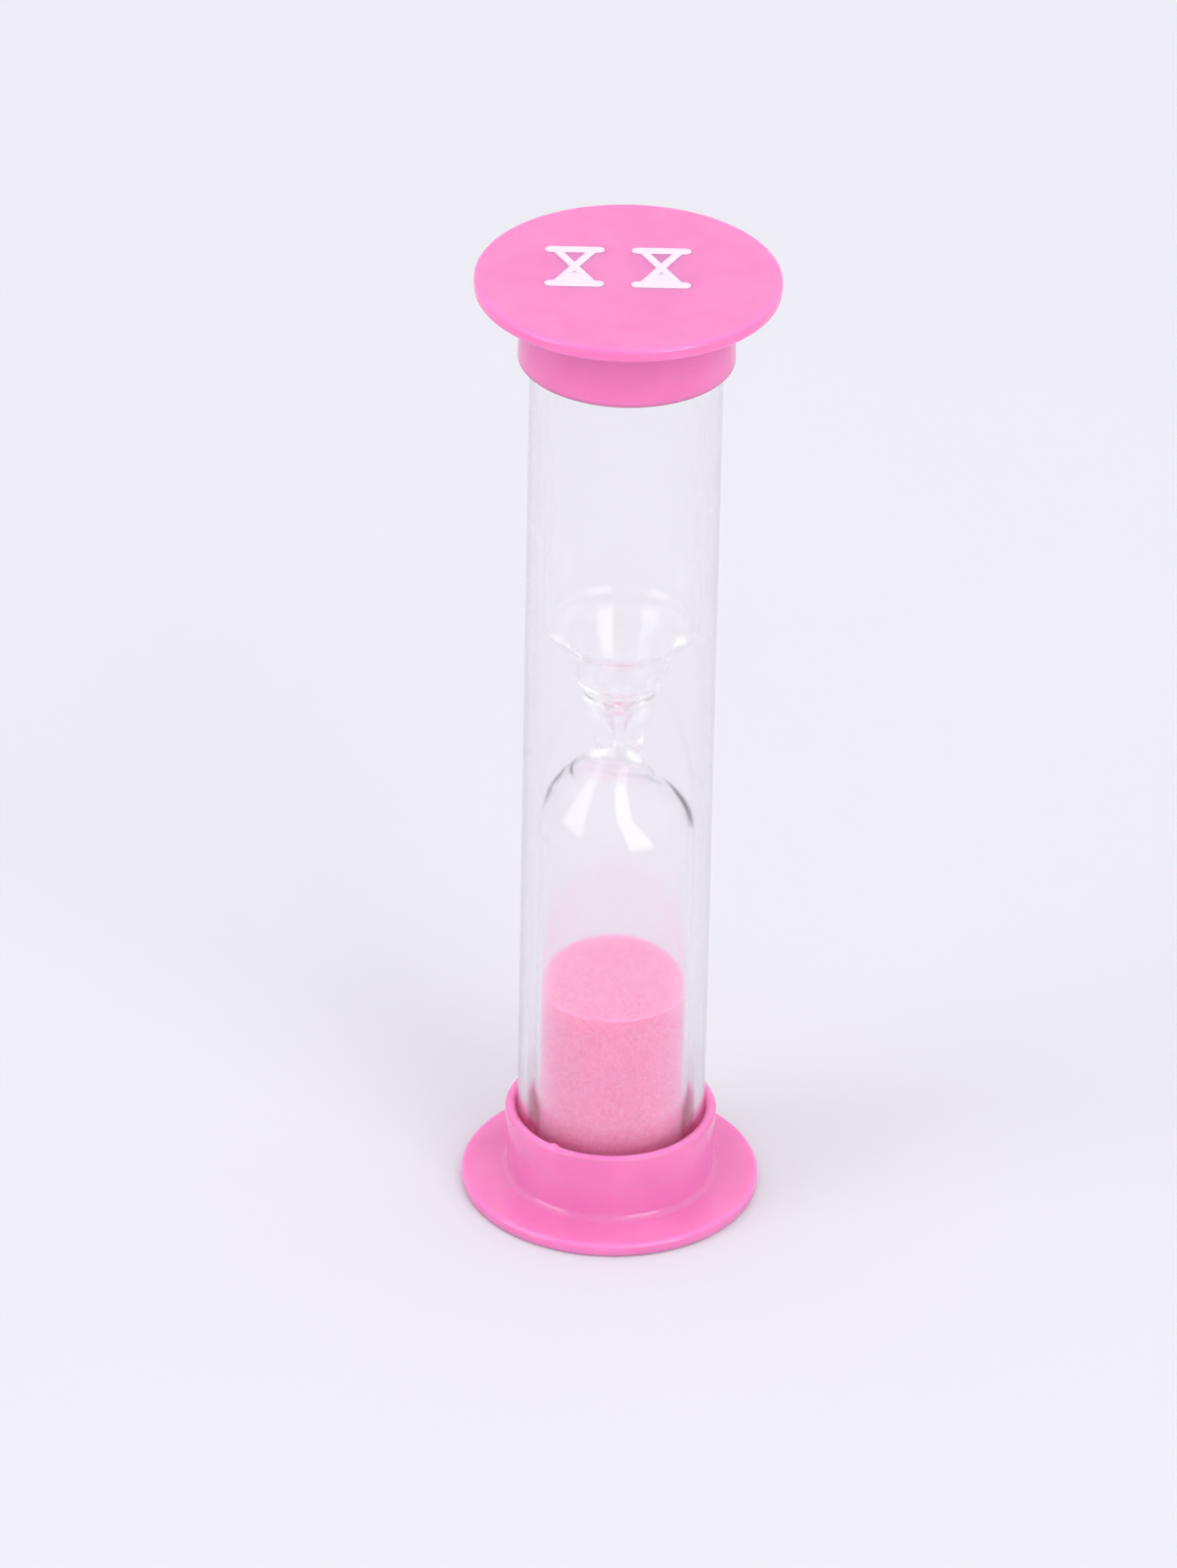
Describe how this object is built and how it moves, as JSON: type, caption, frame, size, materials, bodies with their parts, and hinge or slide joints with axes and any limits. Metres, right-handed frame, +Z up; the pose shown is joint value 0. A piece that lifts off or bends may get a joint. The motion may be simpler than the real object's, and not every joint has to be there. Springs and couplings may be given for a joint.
{
  "type": "hourglass",
  "caption": "Small sand timer: a sealed glass vial of pink sand in a clear tube, held between push-fit pink end caps with wide discs.",
  "frame": {"origin": "centre of the bottom cap's outer face, which the timer stands on", "axes": "+Z up along the tube's axis; -Y towards the side that reads the top cap's symbols upright"},
  "size_m": [0.026, 0.026, 0.09],
  "materials": {
    "pink_cap": "satin moulded polypropylene",
    "white_ink": "pad-printed ink",
    "foam": "soft closed-cell foam",
    "clear_tube": "clear polished plastic",
    "vial_glass": "clear flame-worked glass",
    "stopper": "translucent soft plug",
    "pink_sand": "fine dyed sand"
  },
  "bodies": {
    "base": {"bottom_cap": "pink_cap", "bottom_mark": "white_ink", "bottom_foam_pad": "foam"},
    "timer_tube": {"outer_tube": "clear_tube", "glass_vial": "vial_glass", "vial_stopper": "stopper", "sand": "pink_sand"},
    "top": {"top_foam_pad": "foam", "top_cap": "pink_cap", "top_mark": "white_ink"}
  },
  "joints": [
    {"name": "bottom_cap_pull", "type": "slide", "parent": "base", "child": "timer_tube", "axis": [0, 0, 1], "range_m": [0, 0.012]},
    {"name": "top_cap_pull", "type": "slide", "parent": "timer_tube", "child": "top", "axis": [0, 0, 1], "range_m": [0, 0.012]}
  ]
}
